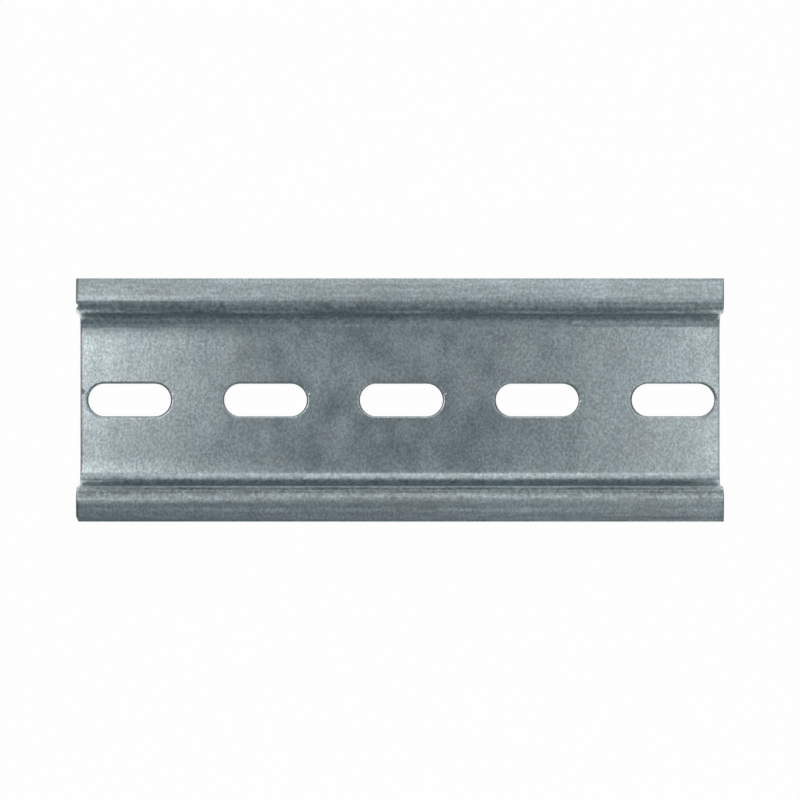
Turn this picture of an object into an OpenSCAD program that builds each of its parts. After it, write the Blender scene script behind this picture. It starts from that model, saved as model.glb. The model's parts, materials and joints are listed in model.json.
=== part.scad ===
/* [Rail] */
// Length of the cut piece
rail_length = 94; // [30:1:400]
// Overall width across the two flanges
rail_width = 35.3; // [34:0.1:38]
// Height from the mounting face to the front of the flanges
rail_height = 7.5; // [6.5:0.1:15]
// Thickness of the steel strip
strip_thickness = 1; // [0.8:0.05:1.2]

/* [Channel] */
// Width of the channel over the outside of its two walls
channel_width = 27; // [25:0.1:28]
// Inside radius of the bends between the walls and the flanges
flange_bend_radius = 1; // [0.4:0.1:1.4]
// Inside radius of the bends between the walls and the floor of the channel
floor_bend_radius = 2; // [0.4:0.1:2.6]

/* [Slots] */
// Length of a slot, end to end
slot_length = 12.2; // [6:0.1:18]
// Width of a slot
slot_width = 4.8; // [4.2:0.1:6.5]
// Distance from one slot to the next
slot_pitch = 20; // [19:0.5:36]
// Steel left between the first cut end and the first slot
first_land = 1.1; // [0.5:0.1:10]
// Least steel that may be left between the last slot and the other cut end
least_land = 0.5; // [0.5:0.1:10]

/* [Edges] */
// Radius drawn onto the front edge of a slot by the punch
slot_edge_radius = 0.25; // [0.1:0.05:0.4]
// Width of the band that the slitting knife rounds along each flange
slit_edge_width = 0.9; // [0.4:0.1:1.2]
// Depth of that band at the very edge
slit_edge_depth = 0.14; // [0.05:0.01:0.25]

/* [Shear marks at the first end] */
// Depth of the nick in the bend of the upper flange
nick_depth = 0.35; // [0.1:0.05:0.6]
// Width of the nick at its mouth
nick_width = 0.8; // [0.4:0.1:1.2]
// What is clipped off the lower flange's corner, along the slit edge
clip_along_edge = 0.35; // [0.1:0.05:1]
// What is clipped off the same corner, along the cut end
clip_along_end = 0.8; // [0.2:0.1:2]

/* [Hidden] */
$fn = 96;

channel_half = channel_width / 2;
rail_half = rail_width / 2;
length_half = rail_length / 2;
// Where each flange's flat begins, at the end of its bend
flange_start = channel_half + flange_bend_radius;
// Where each wall ends and the flange's bend begins
wall_top = rail_height - strip_thickness - flange_bend_radius;
// How many slots the piece holds, and where the first one's centre lies
slot_count = 1 + floor((rail_length - first_land - least_land - slot_length) / slot_pitch);
first_slot = -length_half + first_land + slot_length / 2;
// The band along a flange's edge is an arc that runs out tangent to the front face
slit_arc_radius = (slit_edge_width ^ 2 + slit_edge_depth ^ 2) / (2 * slit_edge_depth);
// How far a cutter runs past the steel, so that it leaves no skin
overcut = 1;

// A quarter bend of the strip, about its centre, from the +X side to the +Y side
module quarter_bend(inside_radius) {
    outside_radius = inside_radius + strip_thickness;
    intersection() {
        difference() {
            circle(r = outside_radius);
            circle(r = inside_radius);
        }
        square(outside_radius);
    }
}

// The flat of a flange, with its front face rounded away towards the slit edge
module flange_flat() {
    difference() {
        translate([flange_start, rail_height - strip_thickness])
            square([rail_half - flange_start, strip_thickness]);
        translate([rail_half - slit_edge_width, rail_height - slit_arc_radius])
            difference() {
                square([slit_edge_width + overcut, slit_arc_radius + overcut]);
                circle(r = slit_arc_radius);
            }
    }
}

// One half of the section: floor, bend, wall, bend and flange, with X across the rail and Y up
module half_section() {
    floor_end = channel_half - strip_thickness - floor_bend_radius;
    wall_foot = strip_thickness + floor_bend_radius;
    square([floor_end, strip_thickness]);
    translate([floor_end, wall_foot])
        mirror([0, 1]) quarter_bend(floor_bend_radius);
    translate([channel_half - strip_thickness, wall_foot])
        square([strip_thickness, wall_top - wall_foot]);
    translate([flange_start, wall_top])
        mirror([1, 0]) quarter_bend(flange_bend_radius);
    flange_flat();
}

// The roll-formed strip along X, with its mounting face on Z = 0
module formed_strip() {
    translate([-length_half, 0, 0])
        rotate([90, 0, 90])
            linear_extrude(height = rail_length) {
                half_section();
                mirror([1, 0]) half_section();
            }
}

// The steel pressed away beside a slot's wall, in section: X leaves the wall, Y = 0 is the front
module slot_edge_section() {
    difference() {
        translate([-overcut, -slot_edge_radius])
            square([slot_edge_radius + overcut, slot_edge_radius + overcut]);
        translate([slot_edge_radius, -slot_edge_radius])
            circle(r = slot_edge_radius);
    }
}

// One slot: its walls straight through the floor, and its rounded front edge
module slot_cutter() {
    end_radius = slot_width / 2;
    straight = slot_length - slot_width;
    translate([0, 0, -overcut])
        linear_extrude(height = strip_thickness + 2 * overcut) {
            square([straight, slot_width], center = true);
            for (end = [-1, 1])
                translate([end * straight / 2, 0]) circle(r = end_radius);
        }
    translate([0, 0, strip_thickness]) {
        for (end = [-1, 1])
            translate([end * straight / 2, 0, 0])
                rotate_extrude() translate([end_radius, 0]) slot_edge_section();
        for (side = [0, 180])
            rotate([0, 0, side]) translate([-straight / 2, end_radius, 0])
                rotate([90, 0, 90]) linear_extrude(height = straight) slot_edge_section();
    }
}

module slots() {
    for (i = [0:slot_count - 1])
        translate([first_slot + i * slot_pitch, 0, 0]) slot_cutter();
}

// What the cropping shear took from the first end: a V in the upper bend, a corner below
module shear_marks() {
    translate([-length_half, 0, wall_top])
        linear_extrude(height = rail_height) {
            translate([0, flange_start - nick_width])
                polygon([
                    [-overcut, -nick_width / 2],
                    [0, -nick_width / 2],
                    [nick_depth, 0],
                    [0, nick_width / 2],
                    [-overcut, nick_width / 2]
                ]);
            translate([0, -rail_half])
                polygon([
                    [-overcut, -overcut],
                    [clip_along_edge, -overcut],
                    [clip_along_edge, 0],
                    [0, clip_along_end],
                    [-overcut, clip_along_end]
                ]);
        }
}

module rail() {
    color([0.64, 0.68, 0.69]) difference() {
        formed_strip();
        slots();
        shear_marks();
    }
}

rail();
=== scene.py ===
"""A short piece of slotted top-hat rail in zinc-plated steel, lying on its back on a pale floor."""

import json
import math

import bpy
from mathutils import Matrix, Vector


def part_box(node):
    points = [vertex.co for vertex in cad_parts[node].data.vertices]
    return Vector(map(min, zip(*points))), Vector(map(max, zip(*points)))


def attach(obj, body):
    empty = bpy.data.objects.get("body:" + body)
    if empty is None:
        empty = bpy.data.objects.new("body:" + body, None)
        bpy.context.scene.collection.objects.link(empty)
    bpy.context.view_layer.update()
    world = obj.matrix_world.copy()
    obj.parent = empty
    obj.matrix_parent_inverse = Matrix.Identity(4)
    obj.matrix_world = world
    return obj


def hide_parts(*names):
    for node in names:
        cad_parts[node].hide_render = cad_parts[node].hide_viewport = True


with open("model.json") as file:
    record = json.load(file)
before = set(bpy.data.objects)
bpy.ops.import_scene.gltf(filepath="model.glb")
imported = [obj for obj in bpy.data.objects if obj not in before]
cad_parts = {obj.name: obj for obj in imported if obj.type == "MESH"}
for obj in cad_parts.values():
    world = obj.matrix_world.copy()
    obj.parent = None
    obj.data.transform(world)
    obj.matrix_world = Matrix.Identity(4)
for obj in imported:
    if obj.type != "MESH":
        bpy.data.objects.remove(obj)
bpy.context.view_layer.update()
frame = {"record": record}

# Steel is shaped in millimetres and brought to metres once it is finished
MM = 0.001

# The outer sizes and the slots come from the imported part
LOW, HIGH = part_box("rail")
MOUNTS = {mount["name"]: mount for mount in frame["record"]["mounts"]}
RAIL_LENGTH = (HIGH.x - LOW.x) / MM
RAIL_HALF = (HIGH.y - LOW.y) / MM / 2
RAIL_HEIGHT = (HIGH.z - LOW.z) / MM
SLOT_LENGTH = MOUNTS["end_slots"]["dims"]["slot_length_mm"]
SLOT_WIDTH = MOUNTS["end_slots"]["dims"]["hole_r_mm"] * 2
SLOT_SPAN = MOUNTS["end_slots"]["dims"]["spacing_x_mm"]
SLOT_PITCH = MOUNTS["middle_slots"]["dims"]["spacing_x_mm"]
SLOT_COUNT = round(SLOT_SPAN / SLOT_PITCH) + 1
FIRST_SLOT = MOUNTS["end_slots"]["pos_m"][0] / MM - SLOT_SPAN / 2

# The section. A tight bend eases off over its last few degrees, on a wider radius
STRIP = 1.0
CHANNEL_HALF = 13.5
FLANGE_BEND = 1.0
FLANGE_EASING = 6.0
FLANGE_EASED = 2.5
FLANGE_DROOP = 5.5
FLOOR_BEND = 2.0
FLOOR_EASING = 38.0
FLOOR_EASED = 3.0
SLIT_EDGE_WIDTH = 0.9
SLIT_EDGE_ANGLE = 22
FLANGE_START = CHANNEL_HALF + FLANGE_BEND
FLOOR_END = CHANNEL_HALF - STRIP - FLOOR_BEND
WALL_TOP = RAIL_HEIGHT - STRIP - FLANGE_BEND

# The marks of the punch and of the cropping shear
SLOT_EDGE_WIDTH = 0.35
SLOT_EDGE_DEPTH = 0.12
NICK_DEPTH = 0.35
NICK_WIDTH = 0.8
CLIP_ALONG_EDGE = 0.35
CLIP_ALONG_END = 0.8
BACK_EDGE = 0.06
CUT_EDGE = 0.12
SHARP_ANGLE = 40

# The plating: colours, gloss and relief, with heights in metres
ZINC_WARM = (0.49, 0.53, 0.532, 1.0)
ZINC_COOL = (0.47, 0.53, 0.55, 1.0)
# Bare steel for the sheared faces; its darkness is partly painted shade, in place of the dark room that the cut
# faces mirror
BARE_STEEL_PAINTED_DARK = (0.2, 0.22, 0.22, 1.0)
ZINC_ROUGHNESS = 0.23
ROUGHNESS_SWING = 0.04
FLANGE_ROUGHNESS = 0.30
BEND_ROUGHNESS = 0.34
SHEARED_ROUGHNESS = 0.5
GRAIN_HEIGHT = 2.0e-6
BRUSHED_HEIGHT = 1.5e-6
WAVE_HEIGHT = 2.0e-5
ROLLED_HEIGHT = 1.2e-5
CRUSHED_HEIGHT = 3.0e-5

# How far the shade swings about 1 for each cause, and the painted highlight on the floor's bends and painted shade
# on the lower flange
GRAIN_SHADE = 0.22
BLOTCH_SHADE = 0.06
ROLLED_SHADE = 0.15
FLECK_SHADE = 0.25
FLOOR_BEND_PAINTED_HIGHLIGHT = 1.12
LOWER_FLANGE_PAINTED_SHADE = 0.88
NOISE_REACH = 0.2

# The small dark pits: cells that may hold one, its size in cells, and the share of cells that do
SPECKS_PER_METRE = 260
SPECK_SIZE = 0.07
SPECK_SHARE = 0.35
SPECK_DEPTH = 0.5

# Lines that the rolls rubbed along the flanges, and a painted highlight line where the floor bends up into the
# upper wall (12.30), as place across the rail, width and change of shade
ROLL_LINES_AND_PAINTED_HIGHLIGHT = ((15.05, 0.30, 0.12), (12.30, 0.10, 0.60), (-15.05, 0.35, -0.06), (-15.90, 0.55, 0.35))

# The strip next to a cut end: how far its painted shade on flats and painted highlight in bends reach, and by how
# much on flats and in bends
END_PAINT_WIDTH = 0.40
END_PAINTED_SHADE_ON_FLATS = -0.55
END_PAINTED_HIGHLIGHT_IN_BENDS = 0.70
SECOND_END_PAINT_SHARE = 0.35

# How finely curves are divided
BEND_STEPS = 18
EASING_STEPS = 3
FLAT_STEP = 1.0
SLOT_END_STEPS = 24
SLOT_EDGE_STEPS = 7
SLIT_EDGE_STEPS = 4
CUT_EDGE_STEPS = 4

# The camera looks straight down
CAMERA_HEIGHT = 463.0
VIEW_WIDTH_AT_FLANGES = 116.0
SENSOR_WIDTH = 36.0

# The light, in metres. Each soft box's level is what a mirror would show of it
BOX_HEIGHT = 0.8
ROOM_LEVEL = 0.166
ROOM_COLOUR = (0.80, 1.0, 1.12, 1.0)
FLOOR_HALF = 18.0
FLOOR_GLOW = 0.985


# ---------------------------------------------------------------- camera

def overhead_camera():
    """The camera over the middle of the rail, framed on the plane of the flanges."""
    data = bpy.data.cameras.new("overhead")
    data.sensor_width = SENSOR_WIDTH
    data.lens = SENSOR_WIDTH * (CAMERA_HEIGHT - RAIL_HEIGHT) / VIEW_WIDTH_AT_FLANGES
    data.clip_start = 0.01
    data.clip_end = 20
    camera = bpy.data.objects.new("overhead", data)
    camera.location = (0, 0, CAMERA_HEIGHT * MM)
    bpy.context.collection.objects.link(camera)
    bpy.context.scene.camera = camera


# ---------------------------------------------------------------- node helpers

def add_node(tree, kind, settings=None, **inputs):
    """A node of one kind. Inputs are given by name, as values or as sockets to link."""
    node = tree.nodes.new(kind)
    for name, value in (settings or {}).items():
        setattr(node, name, value)
    for name, value in inputs.items():
        connect(tree, node, name.replace("_", " "), value)
    return node


def connect(tree, node, name, value):
    """Sets a node's input, found by its name or number, to a value or to another node's socket."""
    usable = [socket for socket in node.inputs if socket.enabled]
    socket = node.inputs[name] if isinstance(name, int) else next(s for s in usable if s.name == name)
    if isinstance(value, bpy.types.NodeSocket):
        tree.links.new(value, socket)
    else:
        socket.default_value = value


def math_node(tree, operation, *values):
    """A Math node's result."""
    node = tree.nodes.new("ShaderNodeMath")
    node.operation = operation
    for number, value in enumerate(values):
        connect(tree, node, number, value)
    return node.outputs[0]


# ---------------------------------------------------------------- section

def arc(centre, radius, start, end, steps=BEND_STEPS):
    """Points along an arc, in degrees, without its last one."""
    points = []
    for step in range(steps):
        angle = math.radians(start + (end - start) * step / steps)
        points.append((centre[0] + radius * math.cos(angle), centre[1] + radius * math.sin(angle)))
    return points


def facing(tilt):
    """The direction that the front of the strip faces where it is tilted by so many degrees."""
    angle = math.radians(tilt)
    return Vector((-math.sin(angle), math.cos(angle)))


def go_straight(path, length):
    """Carries a path of (place, tilt) pairs straight on."""
    place, tilt = path[-1]
    across = facing(tilt)
    along = Vector((across.y, -across.x))
    steps = max(1, round(length / FLAT_STEP))
    path.extend((place + along * length * step / steps, tilt) for step in range(1, steps + 1))


def go_round(path, radius, tilt, steps):
    """Carries a path round an arc to a new tilt."""
    place, start = path[-1]
    reach = math.copysign(radius, tilt - start)
    centre = place + facing(start) * reach
    for step in range(1, steps + 1):
        here = start + (tilt - start) * step / steps
        path.append((centre - facing(here) * reach, here))


def strip_path():
    """The middle of the strip's thickness, from the middle of the floor to where a flange's flat begins."""
    floor_easing, floor_bend = FLOOR_EASING + STRIP / 2, FLOOR_BEND + STRIP / 2
    flange_easing, flange_bend = FLANGE_EASING + STRIP / 2, FLANGE_BEND + STRIP / 2
    floor_eased, flange_eased = math.radians(FLOOR_EASED), math.radians(FLANGE_EASED)
    run = floor_easing * math.sin(floor_eased) + floor_bend * (1 - math.sin(floor_eased))
    rise = floor_easing * (1 - math.cos(floor_eased)) + floor_bend * math.cos(floor_eased)
    rise += flange_easing * (1 - math.cos(flange_eased)) + flange_bend * math.cos(flange_eased)
    path = [(Vector((0, STRIP / 2)), 0)]
    go_straight(path, CHANNEL_HALF - STRIP / 2 - run)
    go_round(path, floor_easing, FLOOR_EASED, EASING_STEPS)
    go_round(path, floor_bend, 90, BEND_STEPS)
    go_straight(path, RAIL_HEIGHT - STRIP - rise)
    go_round(path, flange_bend, FLANGE_EASED, BEND_STEPS)
    go_round(path, flange_easing, 0, EASING_STEPS)
    go_round(path, flange_easing, -FLANGE_DROOP, EASING_STEPS)
    return path


def flange_flat(path, side, end):
    """One face of the strip along a path, carried out over the flange's drooping flat."""
    face = [(place + facing(tilt) * side * STRIP / 2, tilt) for place, tilt in path]
    place, tilt = face[-1]
    go_straight(face, (end - place.x) / math.cos(math.radians(tilt)))
    return face


def half_section():
    """Half of the section's outline, from the middle of the back round to near the middle of the front."""
    path = strip_path()
    back = flange_flat(path, -1, RAIL_HALF)
    front = flange_flat(path, 1, RAIL_HALF - SLIT_EDGE_WIDTH)
    slope = math.sin(math.radians(SLIT_EDGE_ANGLE)) - math.sin(math.radians(FLANGE_DROOP))
    go_round(front, SLIT_EDGE_WIDTH / slope, -SLIT_EDGE_ANGLE, SLIT_EDGE_STEPS)
    return [tuple(place) for place, tilt in back + front[:0:-1]]


def section_curve():
    """The closed outline of the section as a curve, with X across the rail and Y up."""
    right = half_section()
    left = [(-y, z) for y, z in reversed(right[1:])]
    outline = right + [(0, STRIP)] + left
    data = bpy.data.curves.new("section", "CURVE")
    spline = data.splines.new("POLY")
    spline.points.add(len(outline) - 1)
    spline.points.foreach_set("co", [value for y, z in outline for value in (y, z, 0, 1)])
    spline.use_cyclic_u = True
    return data


# ---------------------------------------------------------------- cutters

def slot_ring(grow):
    """The outline of a slot, grown by some amount all round."""
    reach = (SLOT_LENGTH - SLOT_WIDTH) / 2
    radius = SLOT_WIDTH / 2 + grow
    return (
        arc((reach, 0), radius, -90, 90, SLOT_END_STEPS) + [(reach, radius)]
        + arc((-reach, 0), radius, 90, 270, SLOT_END_STEPS) + [(-reach, -radius)]
    )


def slot_punch():
    """The slot's opening as a solid: straight through the strip, with the front edge drawn down round it."""
    rings = [(BACK_EDGE, -STRIP), (BACK_EDGE, 0), (0, BACK_EDGE), (0, STRIP - SLOT_EDGE_DEPTH)]
    for step in range(1, SLOT_EDGE_STEPS + 1):
        angle = math.radians(90 * step / SLOT_EDGE_STEPS)
        grow = SLOT_EDGE_WIDTH * (1 - math.cos(angle))
        rings.append((grow, STRIP - SLOT_EDGE_DEPTH * (1 - math.sin(angle))))
    rings.append((SLOT_EDGE_WIDTH, STRIP * 2))
    return lofted("slot_punch", [[(x, y, z) for x, y in slot_ring(grow)] for grow, z in rings])


def shear_marks():
    """What the shear took from the first end: a V in the upper bend, and a corner of the lower flange."""
    end = -RAIL_LENGTH / 2
    nick_y = FLANGE_START - NICK_WIDTH
    out = end - STRIP
    nick = [(out, nick_y - NICK_WIDTH / 2), (end, nick_y - NICK_WIDTH / 2), (end + NICK_DEPTH, nick_y),
            (end, nick_y + NICK_WIDTH / 2), (out, nick_y + NICK_WIDTH / 2)]
    below = -RAIL_HALF - STRIP
    clip = [(out, below), (end + CLIP_ALONG_EDGE, below), (end + CLIP_ALONG_EDGE, -RAIL_HALF),
            (end, -RAIL_HALF + CLIP_ALONG_END), (out, -RAIL_HALF + CLIP_ALONG_END)]
    return [
        lofted(name, [[(x, y, z) for x, y in ring] for z in (WALL_TOP, RAIL_HEIGHT + STRIP)])
        for name, ring in (("nick", nick), ("clip", clip))
    ]


def lofted(name, rings):
    """A closed solid through rings of points, each listed anticlockwise from above."""
    size = len(rings[0])
    faces = [list(reversed(range(size)))]
    for ring in range(len(rings) - 1):
        base = ring * size
        for i in range(size):
            j = (i + 1) % size
            faces.append((base + i, base + j, base + size + j, base + size + i))
    faces.append([(len(rings) - 1) * size + i for i in range(size)])
    mesh = bpy.data.meshes.new(name)
    mesh.from_pydata([point for ring in rings for point in ring], [], faces)
    thing = bpy.data.objects.new(name, mesh)
    bpy.context.collection.objects.link(thing)
    return thing


# ---------------------------------------------------------------- the rail by geometry nodes

def tree_input(tree, name, kind, value=None):
    """A named input of a node tree."""
    socket = tree.interface.new_socket(name=name, in_out="INPUT", socket_type=kind)
    if value is not None:
        socket.default_value = value
    return socket


def rail_tree(marks):
    """Rolls the section out along the rail, then punches the row of slots and takes the marks away."""
    tree = bpy.data.node_groups.new("roll_and_punch", "GeometryNodeTree")
    tree_input(tree, "Section", "NodeSocketGeometry")
    tree_input(tree, "Length", "NodeSocketFloat")
    tree_input(tree, "Ring Step", "NodeSocketFloat")
    tree_input(tree, "Cut Edge", "NodeSocketFloat")
    tree_input(tree, "Punch", "NodeSocketObject")
    tree_input(tree, "Slot Count", "NodeSocketInt")
    tree_input(tree, "Slot Pitch", "NodeSocketFloat")
    tree_input(tree, "First Slot", "NodeSocketFloat")
    tree_input(tree, "Steel", "NodeSocketMaterial")
    tree.interface.new_socket(name="Rail", in_out="OUTPUT", socket_type="NodeSocketGeometry")
    given = tree.nodes.new("NodeGroupInput").outputs

    half = math_node(tree, "MULTIPLY", given["Length"], 0.5)
    start = add_node(tree, "ShaderNodeCombineXYZ", X=math_node(tree, "MULTIPLY", half, -1.0))
    end = add_node(tree, "ShaderNodeCombineXYZ", X=half)
    line = add_node(tree, "GeometryNodeCurvePrimitiveLine", Start=start.outputs[0], End=end.outputs[0])
    path = add_node(tree, "GeometryNodeResampleCurve", {"mode": "LENGTH"},
                    Curve=line.outputs[0], Length=given["Ring Step"])
    swept = add_node(tree, "GeometryNodeCurveToMesh", Curve=path.outputs[0],
                     Profile_Curve=given["Section"], Fill_Caps=True)
    upright = add_node(tree, "FunctionNodeAxisAngleToRotation", Axis=(1, 0, 0), Angle=math.pi)
    square_cut = add_node(tree, "GeometryNodeTransform", Geometry=swept.outputs[0],
                          Rotation=upright.outputs[0])
    strip = rounded_ends(tree, square_cut.outputs[0], half, given["Ring Step"], given["Cut Edge"])

    first = add_node(tree, "ShaderNodeCombineXYZ", X=given["First Slot"])
    pitch = add_node(tree, "ShaderNodeCombineXYZ", X=given["Slot Pitch"])
    row = add_node(tree, "GeometryNodeMeshLine", {"mode": "OFFSET"}, Count=given["Slot Count"],
                   Start_Location=first.outputs[0], Offset=pitch.outputs[0])
    punch = add_node(tree, "GeometryNodeObjectInfo", Object=given["Punch"])
    punches = add_node(tree, "GeometryNodeInstanceOnPoints", Points=row.outputs[0],
                       Instance=punch.outputs["Geometry"])
    cut = add_node(tree, "GeometryNodeRealizeInstances", Geometry=punches.outputs[0])
    boolean = add_node(tree, "GeometryNodeMeshBoolean", {"operation": "DIFFERENCE", "solver": "EXACT"})
    tree.links.new(strip, boolean.inputs["Mesh 1"])
    tree.links.new(cut.outputs[0], boolean.inputs["Mesh 2"])
    for mark in marks:
        info = add_node(tree, "GeometryNodeObjectInfo", Object=mark)
        tree.links.new(info.outputs["Geometry"], boolean.inputs["Mesh 2"])

    welded = add_node(tree, "GeometryNodeMergeByDistance", Geometry=boolean.outputs[0], Distance=0.005)
    smooth = add_node(tree, "GeometryNodeSetShadeSmooth", Geometry=welded.outputs[0], Shade_Smooth=True)
    turn = add_node(tree, "GeometryNodeInputMeshEdgeAngle")
    sharp = math_node(tree, "GREATER_THAN", turn.outputs["Unsigned Angle"], math.radians(SHARP_ANGLE))
    creased = add_node(tree, "GeometryNodeSetShadeSmooth", {"domain": "EDGE"},
                       Geometry=smooth.outputs[0], Selection=sharp, Shade_Smooth=False)
    real = add_node(tree, "GeometryNodeRealizeInstances", Geometry=creased.outputs[0])
    marked = add_node(tree, "GeometryNodeStoreNamedAttribute", {"data_type": "FLOAT", "domain": "FACE"},
                      Geometry=real.outputs[0], Name="sheared", Value=sheared_faces(tree, half))
    plated = add_node(tree, "GeometryNodeSetMaterial", Geometry=marked.outputs[0], Material=given["Steel"])
    out = tree.nodes.new("NodeGroupOutput")
    tree.links.new(plated.outputs[0], out.inputs["Rail"])
    return tree


def sheared_faces(tree, half_length):
    """1 on the cut ends, the slit edges and the walls of the slots, 0 on the plated faces."""
    place = add_node(tree, "ShaderNodeSeparateXYZ",
                     Vector=tree.nodes.new("GeometryNodeInputPosition").outputs[0])
    facing = add_node(tree, "ShaderNodeSeparateXYZ",
                      Vector=tree.nodes.new("GeometryNodeInputNormal").outputs[0])
    upright = math_node(tree, "LESS_THAN", math_node(tree, "ABSOLUTE", facing.outputs["Z"]), 0.75)
    across = math_node(tree, "ABSOLUTE", place.outputs["Y"])
    in_slot = math_node(tree, "MULTIPLY", upright, math_node(tree, "LESS_THAN", across, SLOT_WIDTH))
    at_edge = math_node(tree, "MULTIPLY", upright, math_node(tree, "GREATER_THAN", across, RAIL_HALF - 0.1))
    turned = math_node(tree, "GREATER_THAN", math_node(tree, "ABSOLUTE", facing.outputs["X"]), 0.35)
    from_end = math_node(tree, "SUBTRACT", half_length, math_node(tree, "ABSOLUTE", place.outputs["X"]))
    at_end = math_node(tree, "MULTIPLY", turned, math_node(tree, "LESS_THAN", from_end, NICK_DEPTH * 1.2))
    return math_node(tree, "MAXIMUM", math_node(tree, "MAXIMUM", in_slot, at_edge), at_end)


def rounded_ends(tree, strip, half_length, ring_step, radius):
    """Draws the rings nearest each cut end into a quarter round, which dulls the sheared edge."""
    place = add_node(tree, "ShaderNodeSeparateXYZ", Vector=tree.nodes.new("GeometryNodeInputPosition").outputs[0])
    x = place.outputs["X"]
    from_end = math_node(tree, "SUBTRACT", half_length, math_node(tree, "ABSOLUTE", x))
    reach = math_node(tree, "MULTIPLY", ring_step, CUT_EDGE_STEPS)
    share = math_node(tree, "MINIMUM", math_node(tree, "DIVIDE", from_end, reach), 1.0)
    angle = math_node(tree, "MULTIPLY", share, math.pi / 2)
    along = math_node(tree, "MULTIPLY", radius, math_node(tree, "SUBTRACT", 1.0, math_node(tree, "COSINE", angle)))
    inset = math_node(tree, "MULTIPLY", radius, math_node(tree, "SUBTRACT", math_node(tree, "SINE", angle), 1.0))
    shift = math_node(tree, "SUBTRACT", from_end, along)
    outward = math_node(tree, "MULTIPLY", math_node(tree, "SIGN", x), shift)
    near = math_node(tree, "LESS_THAN", from_end, math_node(tree, "ADD", reach, math_node(tree, "MULTIPLY", ring_step, 0.5)))
    flat = add_node(tree, "ShaderNodeVectorMath", {"operation": "MULTIPLY"})
    tree.links.new(tree.nodes.new("GeometryNodeInputNormal").outputs[0], flat.inputs[0])
    flat.inputs[1].default_value = (0, 1, 1)
    across = add_node(tree, "ShaderNodeVectorMath", {"operation": "NORMALIZE"})
    tree.links.new(flat.outputs[0], across.inputs[0])
    inward = add_node(tree, "ShaderNodeVectorMath", {"operation": "SCALE"}, Scale=inset)
    tree.links.new(across.outputs[0], inward.inputs[0])
    along_x = add_node(tree, "ShaderNodeCombineXYZ", X=outward)
    move = add_node(tree, "ShaderNodeVectorMath", {"operation": "ADD"})
    tree.links.new(inward.outputs[0], move.inputs[0])
    tree.links.new(along_x.outputs[0], move.inputs[1])
    drawn = add_node(tree, "GeometryNodeSetPosition", Geometry=strip, Selection=near, Offset=move.outputs[0])
    return drawn.outputs[0]


def set_inputs(modifier, values):
    """Sets a geometry nodes modifier's inputs, named as the tree names them."""
    sockets = modifier.node_group.interface.items_tree
    identifiers = {s.name: s.identifier for s in sockets if s.in_out == "INPUT"}
    for name, value in values.items():
        modifier[identifiers[name]] = value


def finished_mesh(thing):
    """The mesh that an object's modifiers make."""
    evaluated = thing.evaluated_get(bpy.context.evaluated_depsgraph_get())
    return bpy.data.meshes.new_from_object(evaluated)


def rail(steel):
    """The finished rail, as one closed mesh in metres."""
    marks = shear_marks()
    punch = slot_punch()
    form = bpy.data.objects.new("rail_form", section_curve())
    bpy.context.collection.objects.link(form)
    nodes = form.modifiers.new("roll_and_punch", "NODES")
    nodes.node_group = rail_tree(marks)
    set_inputs(nodes, {
        "Length": RAIL_LENGTH,
        "Ring Step": FLAT_STEP,
        "Cut Edge": CUT_EDGE,
        "Punch": punch,
        "Slot Count": SLOT_COUNT,
        "Slot Pitch": SLOT_PITCH,
        "First Slot": FIRST_SLOT,
        "Steel": steel,
    })
    blank = bpy.data.objects.new("rail_blank", finished_mesh(form))
    bpy.context.collection.objects.link(blank)
    flatten_normals(blank)
    mesh = finished_mesh(blank)
    for thing in (form, blank, punch, *marks):
        bpy.data.objects.remove(thing)
    mesh.transform(Matrix.Scale(MM, 4))
    skin = bpy.data.objects.new("rail_skin", mesh)
    bpy.context.collection.objects.link(skin)
    return skin


def flatten_normals(thing):
    """Keeps the flats flat in the light, right up to their rounded edges."""
    normals = thing.modifiers.new("flat_faces", "WEIGHTED_NORMAL")
    normals.weight = 50
    normals.keep_sharp = True


# ---------------------------------------------------------------- materials

def object_noise(tree, place, cells_per_metre, detail=2.0, roughness=0.5, shift=(0.0, 0.0, 0.0)):
    """Noise from 0 to 1 over the object's own coordinates, with a cell density for each axis."""
    mapping = add_node(tree, "ShaderNodeMapping", Vector=place, Location=shift, Scale=cells_per_metre)
    noise = add_node(tree, "ShaderNodeTexNoise", Vector=mapping.outputs[0], Scale=1.0, Detail=detail,
                     Roughness=roughness)
    return noise.outputs["Fac"]


def band(tree, value, rise, fall, soft):
    """1 between two limits and 0 beyond them, with soft edges of a given width."""
    up = add_node(tree, "ShaderNodeMapRange", {"interpolation_type": "SMOOTHSTEP"}, Value=value,
                  From_Min=rise - soft, From_Max=rise)
    down = add_node(tree, "ShaderNodeMapRange", {"interpolation_type": "SMOOTHSTEP"}, Value=value,
                    From_Min=fall, From_Max=fall + soft, To_Min=1.0, To_Max=0.0)
    return math_node(tree, "MULTIPLY", up.outputs[0], down.outputs[0])


def around(tree, noise, mean, swing):
    """A factor that swings by so much about a mean, driven by noise stretched to its full contrast."""
    spread = add_node(tree, "ShaderNodeMapRange", Value=noise, From_Min=0.5 - NOISE_REACH,
                      From_Max=0.5 + NOISE_REACH, To_Min=mean - swing, To_Max=mean + swing)
    return spread.outputs[0]


def surface_zones(tree, place):
    """Where a point lies along and across the rail, and its share of the flanges and of the bends."""
    parts = add_node(tree, "ShaderNodeSeparateXYZ", Vector=place)
    across = math_node(tree, "ABSOLUTE", parts.outputs["Y"])
    channel = CHANNEL_HALF * MM
    flange = band(tree, across, channel + 0.6 * MM, 1.0, 0.8 * MM)
    bend = band(tree, across, (FLOOR_END + 1.3) * MM, channel, 1.6 * MM)
    return parts.outputs["X"], parts.outputs["Y"], flange, bend


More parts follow.
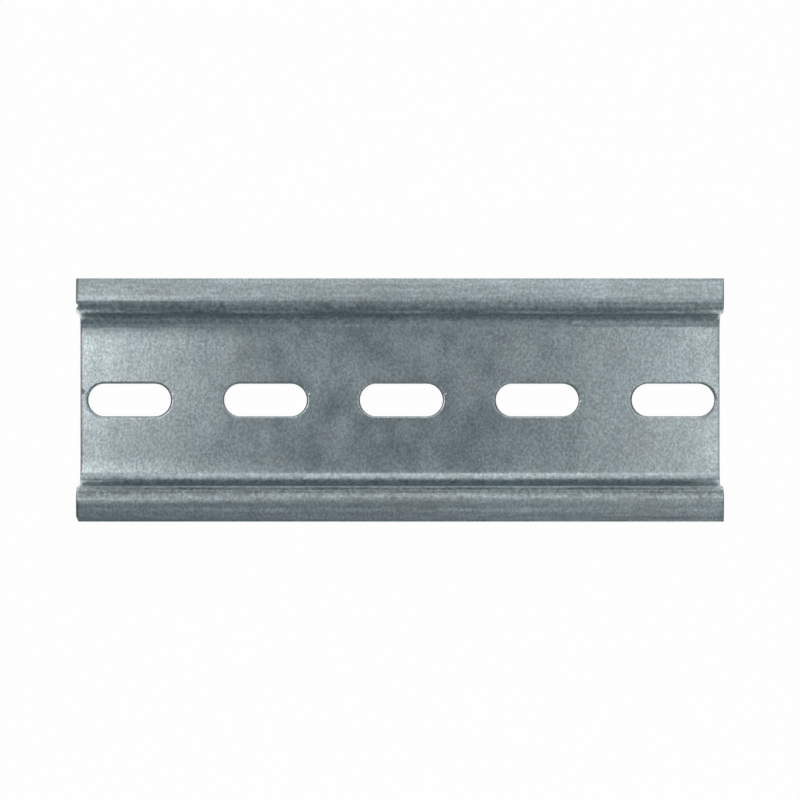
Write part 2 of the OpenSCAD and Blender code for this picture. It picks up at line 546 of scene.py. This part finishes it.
def zinc_height(tree, place, flange, bend):
    """The relief of the strip, in metres: grain, rolling streaks and the crushed zinc in the bends."""
    grain = object_noise(tree, place, (2500, 1300, 2500), 1.0, 0.5)
    brushed = object_noise(tree, place, (2200, 350, 2200), 2.0, 0.5, (3.0, 1.0, 0.0))
    waves = object_noise(tree, place, (90, 90, 90), 1.0, 0.5, (7.0, 0.0, 2.0))
    rolled = object_noise(tree, place, (60, 1300, 1300), 2.0, 0.55, (0.0, 5.0, 0.0))
    crushed = object_noise(tree, place, (1000, 700, 700), 2.0, 0.5, (0.0, 0.0, 9.0))
    height = math_node(tree, "MULTIPLY", grain, GRAIN_HEIGHT)
    height = math_node(tree, "MULTIPLY_ADD", brushed, BRUSHED_HEIGHT, height)
    height = math_node(tree, "MULTIPLY_ADD", waves, WAVE_HEIGHT, height)
    on_flange = math_node(tree, "MULTIPLY", flange, ROLLED_HEIGHT)
    height = math_node(tree, "MULTIPLY_ADD", rolled, on_flange, height)
    in_bend = math_node(tree, "MULTIPLY", bend, CRUSHED_HEIGHT)
    return math_node(tree, "MULTIPLY_ADD", crushed, in_bend, height)


def zinc_shade(tree, place, flange, bend):
    """How much lighter or darker the zinc is from place to place, as a factor."""
    grain = object_noise(tree, place, (3300, 2600, 3300), 1.0, 0.5, (11.0, 4.0, 0.0))
    blotch = object_noise(tree, place, (110, 80, 110), 3.0, 0.5, (2.0, 8.0, 5.0))
    rolled = object_noise(tree, place, (260, 1900, 1900), 3.0, 0.6, (0.0, 2.0, 7.0))
    flecks = object_noise(tree, place, (1500, 1300, 1300), 1.0, 0.5, (6.0, 0.0, 3.0))
    shade = math_node(tree, "MULTIPLY", around(tree, grain, 1.0, GRAIN_SHADE),
                      around(tree, blotch, 1.0, BLOTCH_SHADE))
    lines = math_node(tree, "MULTIPLY", around(tree, rolled, 0.0, ROLLED_SHADE), flange)
    shade = math_node(tree, "MULTIPLY_ADD", shade, lines, shade)
    crushed = math_node(tree, "MULTIPLY", around(tree, flecks, 0.0, FLECK_SHADE), bend)
    return math_node(tree, "MULTIPLY_ADD", shade, crushed, shade)


def painted_bend_highlight_and_flange_shade(tree, y):
    """Painted highlight: the zinc is made brighter in the floor's bends. Painted shade: it is made darker on the
    lower flange.
    """
    across = math_node(tree, "ABSOLUTE", y)
    floor_bend = band(tree, across, (FLOOR_END + 0.5) * MM, (CHANNEL_HALF - STRIP) * MM, 0.9 * MM)
    lower = band(tree, y, -1.0, -(CHANNEL_HALF - STRIP / 2) * MM, 0.5 * MM)
    bend_highlight_factor = math_node(tree, "MULTIPLY_ADD", floor_bend, FLOOR_BEND_PAINTED_HIGHLIGHT - 1.0, 1.0)
    flange_shade_factor = math_node(tree, "MULTIPLY_ADD", lower, LOWER_FLANGE_PAINTED_SHADE - 1.0, 1.0)
    return math_node(tree, "MULTIPLY", bend_highlight_factor, flange_shade_factor)


def roll_lines_and_painted_highlight(tree, place, y):
    """The lines that the forming rolls rubbed along the flanges, and a painted highlight line at the foot of the
    upper wall, broken up along their length.
    """
    broken = object_noise(tree, place, (90, 400, 400), 3.0, 0.6, (4.0, 0.0, 9.0))
    strength = around(tree, broken, 0.7, 0.7)
    change = 0.0
    for middle, width, shade in ROLL_LINES_AND_PAINTED_HIGHLIGHT:
        line = band(tree, y, middle * MM, middle * MM, width * MM)
        change = math_node(tree, "MULTIPLY_ADD", line, shade, change)
    return math_node(tree, "MULTIPLY_ADD", change, strength, 1.0)


def painted_end_shade_and_highlight(tree, x, bend):
    """The strip beside a cut end, with painted shade on its flats and a painted highlight in its bends."""
    half, width = RAIL_LENGTH / 2 * MM, END_PAINT_WIDTH * MM
    first = band(tree, x, -1.0, -half + width / 4, width)
    second = band(tree, x, half - width / 4, 1.0, width)
    closeness = math_node(tree, "MULTIPLY_ADD", second, SECOND_END_PAINT_SHARE, first)
    change = math_node(tree, "MULTIPLY_ADD", bend, END_PAINTED_HIGHLIGHT_IN_BENDS - END_PAINTED_SHADE_ON_FLATS, END_PAINTED_SHADE_ON_FLATS)
    return math_node(tree, "MULTIPLY_ADD", closeness, change, 1.0)


def dark_specks(tree, place):
    """1 in the small dark pits of the plating, 0 elsewhere."""
    mapping = add_node(tree, "ShaderNodeMapping", Vector=place, Scale=(SPECKS_PER_METRE,) * 3)
    cells = add_node(tree, "ShaderNodeTexVoronoi", Vector=mapping.outputs[0], Scale=1.0, Randomness=1.0)
    pick = add_node(tree, "ShaderNodeSeparateColor", Color=cells.outputs["Color"])
    size = math_node(tree, "MULTIPLY", pick.outputs["Red"], SPECK_SIZE)
    kept = math_node(tree, "LESS_THAN", pick.outputs["Green"], SPECK_SHARE)
    inside = math_node(tree, "SUBTRACT", size, cells.outputs["Distance"])
    soft = add_node(tree, "ShaderNodeMapRange", {"interpolation_type": "SMOOTHSTEP"}, Value=inside,
                    From_Min=0.0, From_Max=SPECK_SIZE / 2)
    return math_node(tree, "MULTIPLY", soft.outputs[0], kept)


def zinc_plate():
    """Zinc-plated strip steel, with bare steel where it was sheared, slit and punched, darkened there as painted
    shade.
    """
    material = bpy.data.materials.new("zinc_plate")
    material.use_nodes = True
    tree = material.node_tree
    shader = tree.nodes["Principled BSDF"]
    place = tree.nodes.new("ShaderNodeTexCoord").outputs["Object"]
    sheared = add_node(tree, "ShaderNodeAttribute", {"attribute_name": "sheared"}).outputs["Fac"]
    x, y, flange, bend = surface_zones(tree, place)

    shade = zinc_shade(tree, place, flange, bend)
    pits = math_node(tree, "MULTIPLY_ADD", dark_specks(tree, place), -SPECK_DEPTH, 1.0)
    # Multiplies in the pits, the painted highlight and shade of whole zones, the roll lines with their painted
    # highlight line, and the painted shade and highlight beside the cut ends
    for factor in (pits, painted_bend_highlight_and_flange_shade(tree, y), roll_lines_and_painted_highlight(tree, place, y), painted_end_shade_and_highlight(tree, x, bend)):
        shade = math_node(tree, "MULTIPLY", shade, factor)
    tint = object_noise(tree, place, (140, 100, 140), 2.0, 0.5, (5.0, 5.0, 1.0))
    zinc = add_node(tree, "ShaderNodeMix", {"data_type": "RGBA"}, Factor=tint, A=ZINC_WARM, B=ZINC_COOL)
    shaded = add_node(tree, "ShaderNodeVectorMath", {"operation": "SCALE"}, Scale=shade)
    tree.links.new(zinc.outputs["Result"], shaded.inputs[0])
    # Painted shade: the sheared faces take the dark bare-steel colour
    colour = add_node(tree, "ShaderNodeMix", {"data_type": "RGBA"}, Factor=sheared, B=BARE_STEEL_PAINTED_DARK)
    tree.links.new(shaded.outputs[0], colour.inputs["A"])
    tree.links.new(colour.outputs["Result"], shader.inputs["Base Color"])

    worn = object_noise(tree, place, (260, 200, 260), 3.0, 0.6, (1.0, 1.0, 4.0))
    floor_gloss = around(tree, worn, ZINC_ROUGHNESS, ROUGHNESS_SWING)
    bend_gloss = math_node(tree, "MULTIPLY_ADD", bend, BEND_ROUGHNESS - ZINC_ROUGHNESS, floor_gloss)
    matte = add_node(tree, "ShaderNodeMix", {"data_type": "FLOAT"}, Factor=flange, A=bend_gloss,
                     B=FLANGE_ROUGHNESS)
    gloss = add_node(tree, "ShaderNodeMix", {"data_type": "FLOAT"}, Factor=sheared,
                     A=matte.outputs["Result"], B=SHEARED_ROUGHNESS)
    tree.links.new(gloss.outputs["Result"], shader.inputs["Roughness"])

    height = zinc_height(tree, place, flange, bend)
    bump = add_node(tree, "ShaderNodeBump", Strength=1.0, Distance=1.0, Height=height)
    tree.links.new(bump.outputs[0], shader.inputs["Normal"])
    shader.inputs["Metallic"].default_value = 1.0
    return material


def pale_floor():
    """A white floor. It shows the rail's shadow, and metal and glass see it as white too."""
    material = bpy.data.materials.new("pale_floor")
    material.use_nodes = True
    tree = material.node_tree
    tree.nodes.clear()
    rays = tree.nodes.new("ShaderNodeLightPath").outputs
    seen = math_node(tree, "MAXIMUM", rays["Is Camera Ray"], rays["Is Glossy Ray"])
    seen = math_node(tree, "MAXIMUM", seen, rays["Is Transmission Ray"])
    card = add_node(tree, "ShaderNodeBsdfDiffuse", Color=(0.8, 0.8, 0.8, 1))
    glow = add_node(tree, "ShaderNodeEmission", Color=(1, 1, 1, 1), Strength=1.0)
    share = math_node(tree, "MULTIPLY", seen, FLOOR_GLOW)
    mix = add_node(tree, "ShaderNodeMixShader", Fac=share)
    tree.links.new(card.outputs[0], mix.inputs[1])
    tree.links.new(glow.outputs[0], mix.inputs[2])
    out = tree.nodes.new("ShaderNodeOutputMaterial")
    tree.links.new(mix.outputs[0], out.inputs["Surface"])
    return material


# ---------------------------------------------------------------- studio

def soft_box(name, place, size, radiance, turn=(0, 0)):
    """A soft box that faces down, or is turned about X and Y. A mirror would show its radiance."""
    data = bpy.data.lights.new(name, "AREA")
    data.shape = "RECTANGLE"
    data.size, data.size_y = size
    data.energy = radiance * math.pi * size[0] * size[1]
    light = bpy.data.objects.new(name, data)
    light.location = place
    light.rotation_euler = (math.radians(turn[0]), math.radians(turn[1]), 0)
    light.visible_camera = False
    bpy.context.collection.objects.link(light)


def room():
    """A dim, slightly blue room."""
    world = bpy.data.worlds.new("room")
    bpy.context.scene.world = world
    world.use_nodes = True
    background = world.node_tree.nodes["Background"]
    background.inputs["Color"].default_value = ROOM_COLOUR
    background.inputs["Strength"].default_value = ROOM_LEVEL


def studio():
    """Soft boxes overhead on each side of the camera, beyond it and this side of it, and low panels."""
    soft_box("left_box", (-0.192, 0.062, BOX_HEIGHT), (0.118, 0.178), 3.63)
    soft_box("right_box", (0.156, 0.112, BOX_HEIGHT), (0.065, 0.523), 2.10)
    soft_box("far_box", (0.024, 0.976, BOX_HEIGHT), (0.568, 1.523), 0.68)
    soft_box("near_box", (0.0, -0.411, BOX_HEIGHT), (0.52, 0.323), 0.17)
    soft_box("near_right_box", (0.203, -0.987, BOX_HEIGHT), (0.061, 1.662), 2.11)
    soft_box("far_panel", (0.0, 2.0, 0.212), (1.4, 0.283), 1.15, turn=(-90, 0))
    soft_box("near_panel", (0.0, -2.0, 0.54), (1.4, 0.375), 0.13, turn=(90, 0))


def floor(material):
    """The floor that the rail lies on."""
    corners = [(x * FLOOR_HALF, y * FLOOR_HALF, 0) for x, y in ((-1, -1), (1, -1), (1, 1), (-1, 1))]
    mesh = bpy.data.meshes.new("floor")
    mesh.from_pydata(corners, [], [(0, 1, 2, 3)])
    mesh.materials.append(material)
    thing = bpy.data.objects.new("floor", mesh)
    bpy.context.collection.objects.link(thing)
    return thing


overhead_camera()
bpy.context.scene.view_settings.view_transform = "Standard"
skin = rail(zinc_plate())
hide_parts("rail")
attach(skin, "root")
floor(pale_floor())
room()
studio()
